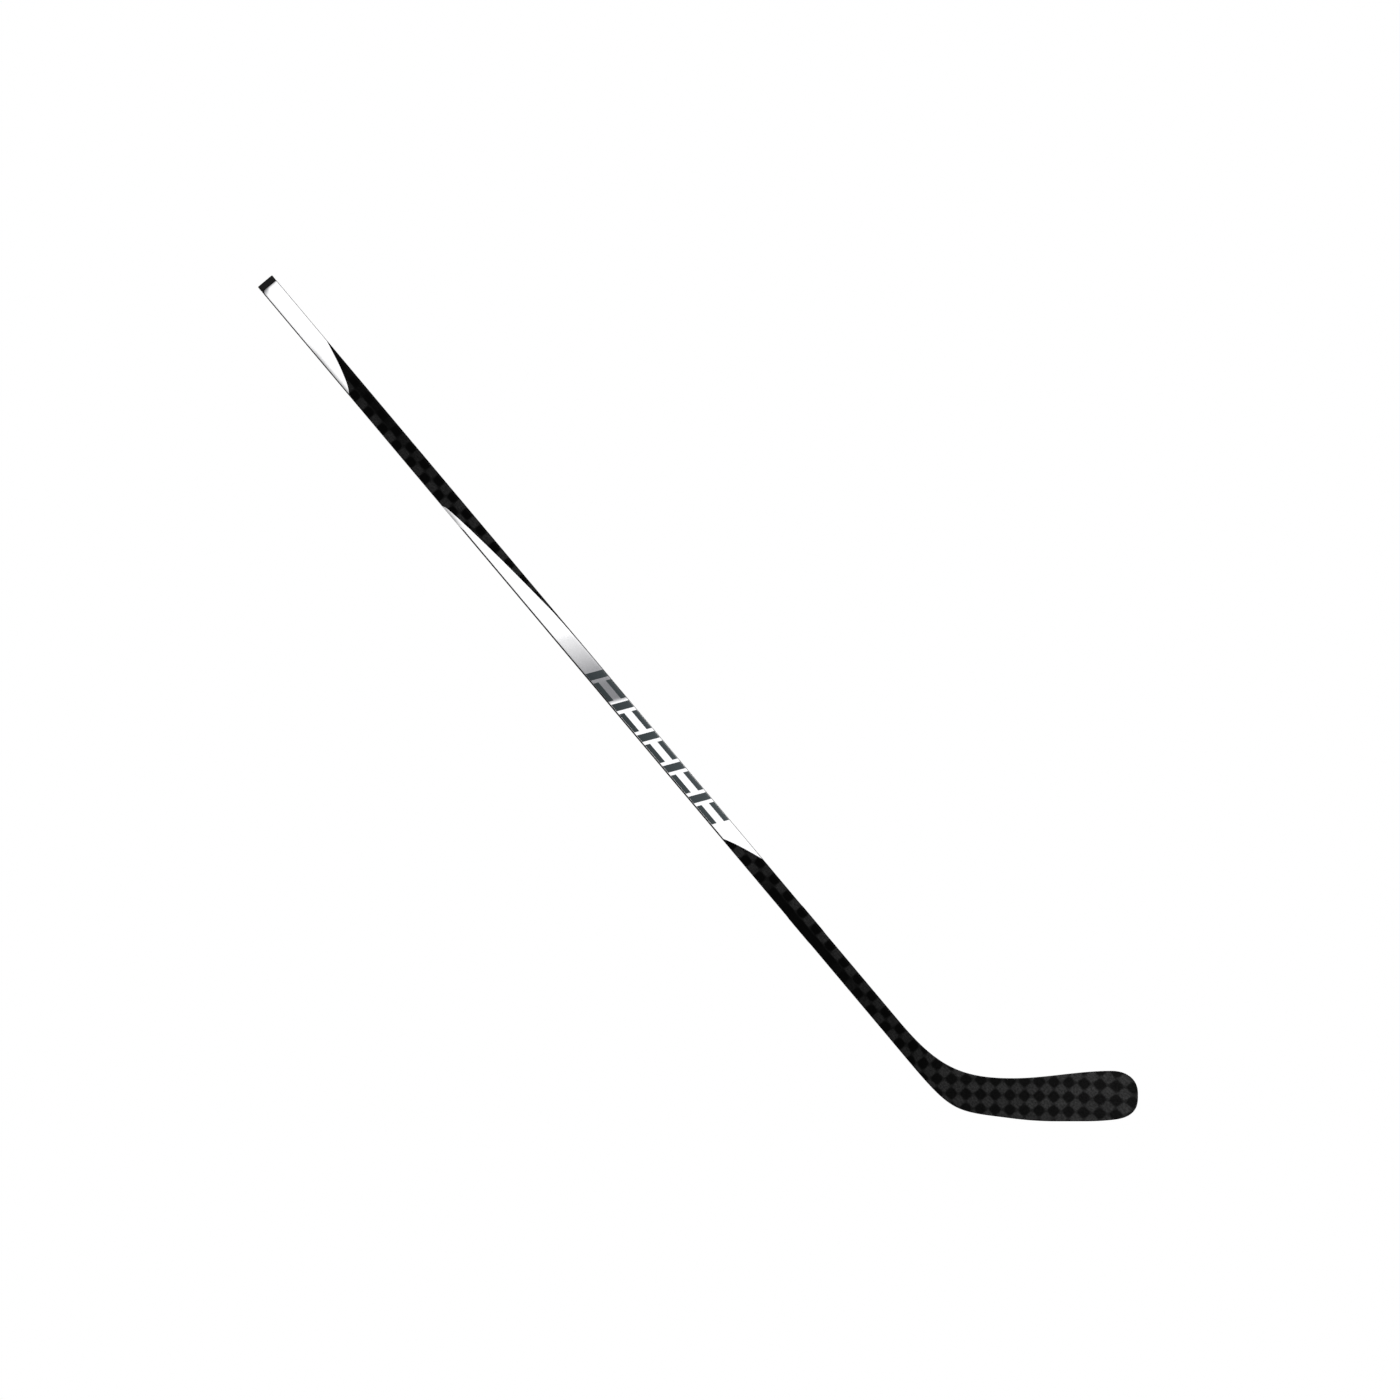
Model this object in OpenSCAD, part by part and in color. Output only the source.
// Ice hockey stick: a fused composite stick with a hollow carbon shaft, a foam-cored carbon
// blade that is plugged into it on a tenon, a butt end cap and printed films.
// The stick stands on its sole in the playing position. +X runs along the blade to the toe,
// +Y points to the backhand side and +Z points up. The origin is the centre of the flat of
// the sole. Distances named "reach" are measured along X from the heel point, where the
// centreline of the shaft meets the ice. All sizes are in millimetres and degrees.

/* [Stick] */
// Length from the heel to the butt end, along the back edge of the shaft
stick_length = 1524; // [1400:1:1600]
// Angle between the shaft and the ice
lie_angle = 50; // [48:0.5:52]

/* [Shaft] */
// Width of the wide face
shaft_w = 26; // [25:0.1:28]
// Thickness from the forehand face to the backhand face
shaft_d = 19; // [18:0.1:21]
// Radius of the four corners
shaft_r = 4.5; // [3.5:0.1:5.5]
// Wall of the carbon tube
shaft_wall = 1.8; // [1.4:0.1:2.2]
// Distance from the heel point up to the joint between the shaft and the blade's hosel
fuse_at = 360; // [320:1:400]

/* [Blade] */
// Reach of the toe
toe_at = 233; // [225:0.5:245]
// Height of the toe's foremost point
toe_h = 38; // [34:0.5:42]
// Greatest height of the blade, just behind the toe
blade_h = 70.6; // [66:0.1:76]
// Reach of the tallest section
peak_at = 195; // [190:0.5:200]
// Height of the top edge at its lowest point
waist_h = 60.4; // [56:0.1:64]
// Reach of that lowest point
waist_at = 58; // [52:0.5:64]
// Thickness of the blade at that point
waist_t = 7.2; // [6.5:0.1:8]
// Thickness of the blade at the toe
toe_t = 4.8; // [4.4:0.1:5.5]
// Depth of the curve at the toe
curve_depth = 12; // [4:0.5:18]
// Angle by which the face opens at the toe
open_angle = 4; // [0:0.5:8]

/* [Sole] */
// Reach of the middle of the sole's flat
flat_at = 140; // [135:1:145]
// Length of the flat
flat_len = 40; // [20:1:50]
// Rocker radius between the flat and the heel
heel_rocker = 480; // [420:1:600]
// Rocker radius between the flat and the toe
toe_rocker = 354; // [300:1:450]

/* [Blade layup] */
// Thickness of each carbon face skin on the blade
skin_t = 1.3; // [1:0.1:1.5]
// Width of the solid carbon strips along the top edge and the sole
strip_w = 4; // [3:0.1:5]
// Thickness of the carbon rib between the two foam cores
rib_t = 1.6; // [1:0.1:2.5]

/* [Joint] */
// Length of the tenon inside the shaft
tenon_up = 70; // [50:1:90]
// Length of the tenon inside the hosel
tenon_down = 60; // [40:1:80]
// Wall of the hollow tenon
tenon_wall = 2.4; // [2:0.1:3]
// Thickness of the adhesive around the tenon and the cap's spigot
glue_t = 0.3; // [0.2:0.05:0.5]
// Length of the carbon overwrap that covers the joint
overwrap_len = 50; // [30:1:70]
// Thickness of that overwrap
overwrap_t = 0.35; // [0.25:0.05:0.5]

/* [Butt end cap] */
// Length of the visible head
cap_head = 9; // [6:0.5:12]
// Length of the spigot inside the shaft
cap_spigot = 42; // [30:1:60]
// Wall of the spigot
cap_wall = 1.6; // [1.2:0.1:2.4]
// Chamfer around the head's end face
cap_chamfer = 0.8; // [0.5:0.1:1.6]
// Number of crush ribs on each wide side of the spigot
cap_ribs = 3; // [1:1:4]

/* [Films] */
// Thickness of the printed films
film_t = 0.2; // [0.15:0.01:0.3]
// Width of bare carbon left beside the main film at the back edge of the shaft, seen square to the face
back_reveal = 2.1; // [0.5:0.1:3]
// The same beside the upper film
upper_back_reveal = 1.7; // [0.5:0.1:3]
// The same beside the first stretch of the main film, its nose
nose_reveal = 0.4; // [0.2:0.1:3]
// Width of bare carbon left at the front edge, beside both films
front_reveal = 0.8; // [0.2:0.1:3]
// Gap between the butt end cap and the upper film
cap_gap = 0.6; // [0.4:0.1:2]

/* [Emblem] */
// Thickness of the emblem's bars
bar_t = 0.12; // [0.1:0.01:0.2]
// Width of white film left beside the bars
bar_inset = 0.3; // [0.2:0.1:1]
// Distance from the butt end to the first slash, at the middle of the face
emblem_from = 714; // [700:1:730]
// Number of slash and rail units
units = 5; // [3:1:5]
// Spacing of the units
unit_pitch = 56; // [50:1:58]
// Length of each slash
slash_len = 12; // [6:1:14]
// Length of each pair of rails
rail_len = 33; // [30:1:36]
// Width of each rail
rail_w = 6.5; // [4:0.5:8]
// Slant of the ends
slant_angle = 25; // [15:1:35]

/* [Hidden] */

carbon = [0.09, 0.09, 0.10];
rubber = [0.05, 0.05, 0.05];
adhesive = [0.85, 0.78, 0.60];
white_film = [0.94, 0.94, 0.95];
slate = [0.25, 0.29, 0.29];
foam = [0.88, 0.86, 0.80];

corner_fn = 64;
heel_x = -flat_at;                                        // the heel point in the part's frame
butt_s = stick_length + shaft_w / 2 / tan(lie_angle);     // end of the cap along the centreline
tube_top = butt_s - cap_head;
heel_s = 171;                                             // where the heel starts to flare
curve_from = 20;                                          // reach at which the curve starts
curve_power = 1.8;
toe_top_power = 2.25;                                     // squareness of the toe's upper corner
toe_sole_power = 3.15;                                    // squareness of its lower corner
edge_share = 0.6;                                         // edge radius over half thickness
fillet_pull = 0.785;                                      // tightness of the heel's inner fillet
heel_pull = 1.06;                                         // tightness of its outer corner
edge = shaft_w / 2;

// ---- Small helpers -------------------------------------------------------------------------

function mix(a, b, t) = a + (b - a) * t;
function ease(t) = let (u = min(1, max(0, t))) u * u * (3 - 2 * u);
function bezier(a, b, c, d, t) =
    let (u = 1 - t) a * u * u * u + b * 3 * u * u * t + c * 3 * u * t * t + d * t * t * t;
function rounded_corner(a, corner, b, pull, t) =
    bezier(a, mix(a, corner, pull), mix(b, corner, pull), b, t);
function bend(a, b, c, t) = let (u = 1 - t) a * u * u + b * 2 * u * t + c * t * t;
function meet(p, u, q, v) = p + u * cross(q - p, v) / cross(u, v);
function mirrored(ring) = [for (i = [len(ring) - 1:-1:0]) [-ring[i][0], ring[i][1]]];
function flipped(ring) = [for (i = [len(ring) - 1:-1:0]) [ring[i][0], -ring[i][1]]];

// ---- Outline of the blade and hosel, as [reach, height] -------------------------------------

function on_shaft(s, across) = [
    across * sin(lie_angle) - s * cos(lie_angle),
    s * sin(lie_angle) + across * cos(lie_angle)
];
shaft_down = [cos(lie_angle), -sin(lie_angle)];

flat_from = flat_at - flat_len / 2;
flat_to = flat_at + flat_len / 2;
function sole_z(x) =
    pow(max(0, flat_from - x), 2) / (2 * heel_rocker) + pow(max(0, x - flat_to), 2) / (2 * toe_rocker);
function top_z(x) = mix(waist_h, blade_h, ease((x - waist_at) / (peak_at - waist_at)));
function toe_share(x, power) =
    x <= peak_at ? 1 : pow(1 - pow((x - peak_at) / (toe_at - peak_at), power), 1 / power);

// The lower edge turns from the back of the shaft into the sole at a virtual corner.
waist_sole = [waist_at, sole_z(waist_at)];
waist_top = [waist_at, waist_h];
sole_slope = [1, (waist_at - flat_from) / heel_rocker];
heel_low = on_shaft(heel_s, -shaft_w / 2);
heel_high = on_shaft(heel_s, shaft_w / 2);
low_corner = meet(heel_low, shaft_down, waist_sole, sole_slope);
high_corner = meet(heel_high, shaft_down, waist_top, [1, 0]);

function blade_half_t(x) = mix(waist_t, toe_t, (x - waist_at) / (toe_at - waist_at)) / 2;
// The half thickness rounds off over the last bit of the toe.
function toe_half_t(x) =
    let (t = blade_half_t(x), r = edge_share * t, short = max(0, r - (toe_at - x)))
    t - r + sqrt(r * r - short * short);

// ---- Stations: [low point, high point, half thickness, edge radius, skin, strip] ------------

function hosel_station(s) = [
    on_shaft(s, -shaft_w / 2), on_shaft(s, shaft_w / 2), shaft_d / 2, shaft_r, shaft_wall, shaft_wall
];
function heel_station(t) = let (g = ease(t), half = mix(shaft_d, waist_t, g) / 2) [
    rounded_corner(heel_low, low_corner, waist_sole, heel_pull, t),
    rounded_corner(heel_high, high_corner, waist_top, fillet_pull, t),
    half, mix(shaft_r, edge_share * waist_t / 2, g), mix(shaft_wall, skin_t, g), mix(shaft_wall, strip_w, g)
];
function blade_station(x) = let (
    low = toe_h - (toe_h - sole_z(x)) * toe_share(x, toe_sole_power),
    high = toe_h + (top_z(x) - toe_h) * toe_share(x, toe_top_power),
    half = toe_half_t(x), tall = (high - low) / 2
) [
    [x, low], [x, high], half, min(edge_share * half, 0.9 * tall), min(skin_t, 0.7 * half), min(strip_w, tall)
];

hosel_foam_top = fuse_at - tenon_down;
body_step = 10;
hosel_stations = [for (s = [fuse_at, hosel_foam_top, mix(hosel_foam_top, heel_s, 0.5)]) hosel_station(s)];
heel_stations = [for (i = [0:20]) heel_station(i / 20)];
body_reach = concat(
    [for (x = [waist_at + body_step:body_step:flat_from - 1]) x],
    [flat_from, flat_at, flat_to],
    [for (x = [flat_to + body_step:body_step:peak_at - 1]) x],
    [for (a = [0:6:84]) peak_at + (toe_at - peak_at) * sin(a)]
);
tip_reach = [for (a = [87, 88.5, 89.5]) peak_at + (toe_at - peak_at) * sin(a)];
body_stations = [for (x = body_reach) blade_station(x)];
stations = concat(hosel_stations, heel_stations, body_stations, [for (x = tip_reach) blade_station(x)]);

// The foam runs from the tenon down to core_split, and the two cores from there to the toe.
core_split = len(hosel_stations) + 12;
core_end = len(hosel_stations) + len(heel_stations) + len(body_stations) - 4;

// ---- Cross-sections, as [across the thickness, up the section] ------------------------------

function half_h(st) = norm(st[1] - st[0]) / 2;
// Angle round the edge at which the face skin ends and the edge strip starts.
function split_angle(st) = acos(max(0, 1 - st[4] / st[3]));
function edge_point(st, a) = [
    -(st[2] - st[3]) - st[3] * cos(a), half_h(st) - st[3] + st[3] * sin(a)
];
skin_steps = 4;
strip_steps = 3;
function skin_ring(st) = let (a = split_angle(st)) concat(
    [for (i = [skin_steps:-1:0]) let (p = edge_point(st, a * i / skin_steps)) [p[0], -p[1]]],
    [for (i = [0:skin_steps]) edge_point(st, a * i / skin_steps)]
);
function strip_ring(st) = let (
    a = split_angle(st), inner = half_h(st) - st[5],
    arc = [for (i = [0:strip_steps]) edge_point(st, mix(a, 90, i / strip_steps))],
    back = [for (i = [strip_steps:-1:0]) [-arc[i][0], arc[i][1]]]
) concat([[-(st[2] - st[4]), inner]], arc, back, [[st[2] - st[4], inner]]);
function core_ring(st, low, high) = let (v = st[2] - st[4]) [[-v, low], [-v, high], [v, high], [v, low]];

// ---- Loft through the stations --------------------------------------------------------------

function curve_y(x) =
    -curve_depth * pow(max(0, x - curve_from) / (toe_at - curve_from), curve_power);
function lean(x) = tan(open_angle) * max(0, x - curve_from) / (toe_at - curve_from);
function face_y(x, z) = curve_y(x) + lean(x) * z - curve_y(flat_at);
shaft_y = -curve_y(flat_at);

function placed(st, v, h) =
    let (axis = (st[1] - st[0]) / norm(st[1] - st[0]), p = (st[0] + st[1]) / 2 + axis * h)
    [heel_x + p[0], v + face_y(p[0], p[1]), p[1]];

// rings is one list of [across, up] points for each of the stations, all equally long.
module loft(sts, rings) {
    n = len(rings[0]);
    last = len(rings) - 1;
    points = [for (k = [0:last]) for (p = rings[k]) placed(sts[k], p[0], p[1])];
    sides = [for (k = [0:last - 1]) for (i = [0:n - 1]) let (
        a = k * n + i, b = k * n + (i + 1) % n
    ) each [[a, a + n, b], [b, a + n, b + n]]];
    polyhedron(points, concat(sides, [[for (i = [0:n - 1]) i], [for (i = [n - 1:-1:0]) last * n + i]]));
}
function between(from, to) = [for (i = [from:to]) stations[i]];
core_sts = between(core_split, core_end);

// ---- Shaft, in a frame whose Z runs up the centreline from the heel point -------------------

module along_shaft(s = 0) {
    translate([heel_x, shaft_y, 0]) rotate([0, lie_angle - 90, 0]) translate([0, 0, s]) children();
}
// Rounded rectangle of the shaft's outer shape, drawn in by inset.
module shaft_shape(inset = 0) {
    w = shaft_w - 2 * inset;
    d = shaft_d - 2 * inset;
    r = shaft_r - inset;
    square([w - 2 * r, d], center = true);
    square([w, d - 2 * r], center = true);
    for (x = [-1, 1], y = [-1, 1]) {
        translate([x * (w / 2 - r), y * (d / 2 - r)]) circle(r, $fn = corner_fn);
    }
}
module sleeve(length, outer, inner) {
    linear_extrude(length) difference() {
        shaft_shape(outer);
        shaft_shape(inner);
    }
}
// A thin layer that wraps over one wide face and its corners. Its children are the outline,
// drawn as [across the face, distance from the butt end].
module wrapped(side, lift, thick) {
    intersection() {
        along_shaft(fuse_at) sleeve(tube_top - fuse_at, -lift - thick, -lift);
        along_shaft(butt_s) translate([0, side > 0 ? shaft_d : 0, 0])
            rotate([90, 0, 0]) mirror([0, 1, 0]) linear_extrude(shaft_d) children();
    }
}

module shaft_tube() color(carbon) along_shaft(fuse_at) sleeve(tube_top - fuse_at, 0, shaft_wall);

// ---- Butt end cap ---------------------------------------------------------------------------

// Prism with two chamfered long edges at the top, which trims the head.
module chamfer_prism(width) {
    c = cap_chamfer;
    rotate([90, 0, 0]) linear_extrude(2 * shaft_w, center = true) polygon([
        [-width / 2, 0], [width / 2, 0], [width / 2, cap_head - c], [width / 2 - c, cap_head],
        [c - width / 2, cap_head], [-width / 2, cap_head - c]
    ]);
}
module cap_ribs_on(side) {
    inset = shaft_wall + glue_t;
    spread = shaft_w - 2 * inset - 2 * (shaft_r - inset);
    for (i = [0:cap_ribs - 1]) {
        x = cap_ribs == 1 ? 0 : mix(-spread / 2, spread / 2, i / (cap_ribs - 1)) * 0.8;
        translate([x - 0.5, side > 0 ? shaft_d / 2 - inset - 0.01 : inset - glue_t - shaft_d / 2, 4 - cap_spigot])
            cube([1, glue_t + 0.01, cap_spigot - 8]);
    }
}
module butt_cap() color(rubber) along_shaft(tube_top) {
    intersection() {
        linear_extrude(cap_head) shaft_shape();
        chamfer_prism(shaft_w);
        rotate([0, 0, 90]) chamfer_prism(shaft_d);
    }
    translate([0, 0, -cap_spigot])
        sleeve(cap_spigot, shaft_wall + glue_t, shaft_wall + glue_t + cap_wall);
    for (side = [-1, 1]) cap_ribs_on(side);
}
module cap_glue() color(adhesive) along_shaft(tube_top) difference() {
    translate([0, 0, 4 - cap_spigot]) sleeve(cap_spigot - 4, shaft_wall, shaft_wall + glue_t);
    for (side = [-1, 1]) cap_ribs_on(side);
}

// ---- Printed films and emblem on the two wide faces -----------------------------------------

curve_steps = 12;
function curved(a, b, c) = [for (i = [0:curve_steps]) bend(a, b, c, i / curve_steps)];

// Ends of the films, from one edge of the face to the other. The main film starts with a nose at the back
// edge and has a long thin tail at the front edge.
film_from = cap_head + cap_gap;
upper_film_start = [[-edge, film_from + 6], [5 - edge, film_from], [edge - 2, film_from], [edge, film_from + 2]];
upper_film_end = curved([edge, 115], [0, 185], [-edge, 198]);
main_film_start = concat(
    [[-edge, 400]], curved([3 - edge, 406], [0.2, 467], [10.4, 612]),
    [[11.4, 650], [edge, 790]]
);
main_film_end = curved([edge, 1068], [0, 1028], [-edge, 1006]);

// Where each film ends beside the back edge. The main film is wider along its nose.
upper_back_line = [[upper_back_reveal - edge, 0], [upper_back_reveal - edge, stick_length]];
main_back_line = [
    [nose_reveal - edge, 0], [nose_reveal - edge, 436],
    [back_reveal - edge, 446], [back_reveal - edge, stick_length]
];

module film(side, back_line, start, end) color(white_film) wrapped(side, 0, film_t) intersection() {
    polygon(concat(back_line, [[edge - front_reveal, stick_length], [edge - front_reveal, 0]]));
    polygon(concat(start, end));
}

// A bar between two distances, with slanted ends and sides at low and high.
module bar(from, length, low, high) {
    slant = tan(slant_angle);
    polygon([
        [low, from + low * slant], [high, from + high * slant],
        [high, from + length + high * slant], [low, from + length + low * slant]
    ]);
}
module emblem(side) color(slate) wrapped(side, film_t, bar_t) {
    low = back_reveal + bar_inset - edge;
    high = edge - front_reveal - bar_inset;
    rail_gap = (unit_pitch - slash_len - rail_len) / 2;
    for (i = [0:units - 1]) {
        from = emblem_from + i * unit_pitch;
        bar(from, slash_len, low, high);
        bar(from + slash_len + rail_gap, rail_len, low, low + rail_w);
        bar(from + slash_len + rail_gap, rail_len, high - rail_w, high);
    }
}

// ---- Fused joint between the shaft and the hosel --------------------------------------------

tenon_inset = shaft_wall + glue_t;
module fuse_tenon() color(carbon) along_shaft(fuse_at - tenon_down)
    sleeve(tenon_down + tenon_up, tenon_inset, tenon_inset + tenon_wall);
module tenon_glue_shaft() color(adhesive) along_shaft(fuse_at) sleeve(tenon_up, shaft_wall, tenon_inset);
// The hosel is square inside, so its adhesive fills the corners too.
module tenon_glue_hosel() color(adhesive) along_shaft(fuse_at - tenon_down)
    linear_extrude(tenon_down) difference() {
        square([shaft_w - 2 * shaft_wall, shaft_d - 2 * shaft_wall], center = true);
        shaft_shape(tenon_inset);
    }
module fuse_overwrap() color(carbon) along_shaft(fuse_at - overwrap_len / 2)
    sleeve(overwrap_len, -overwrap_t, 0);

// ---- Blade ----------------------------------------------------------------------------------

module forehand_skin() color(carbon) loft(stations, [for (st = stations) skin_ring(st)]);
module backhand_skin() color(carbon) loft(stations, [for (st = stations) mirrored(skin_ring(st))]);
module top_edge_strip() color(carbon) loft(stations, [for (st = stations) strip_ring(st)]);
module sole_strip() color(carbon) loft(stations, [for (st = stations) flipped(strip_ring(st))]);
module hosel_foam() {
    sts = between(1, core_split);
    color(foam) loft(sts, [for (st = sts) core_ring(st, st[5] - half_h(st), half_h(st) - st[5])]);
}
module upper_core() color(foam)
    loft(core_sts, [for (st = core_sts) core_ring(st, rib_t / 2, half_h(st) - st[5])]);
module lower_core() color(foam)
    loft(core_sts, [for (st = core_sts) core_ring(st, st[5] - half_h(st), -rib_t / 2)]);
module core_rib() color(carbon) loft(core_sts, [for (st = core_sts) core_ring(st, -rib_t / 2, rib_t / 2)]);

shaft_tube();
butt_cap();
cap_glue();
film(-1, upper_back_line, upper_film_start, upper_film_end);  // upper_film_forehand
film(1, upper_back_line, upper_film_start, upper_film_end);  // upper_film_backhand
film(-1, main_back_line, main_film_start, main_film_end);  // main_film_forehand
film(1, main_back_line, main_film_start, main_film_end);  // main_film_backhand
emblem(-1);  // emblem_forehand
emblem(1);  // emblem_backhand
fuse_tenon();
tenon_glue_shaft();
tenon_glue_hosel();
fuse_overwrap();
forehand_skin();
backhand_skin();
top_edge_strip();
sole_strip();
hosel_foam();
upper_core();
lower_core();
core_rib();
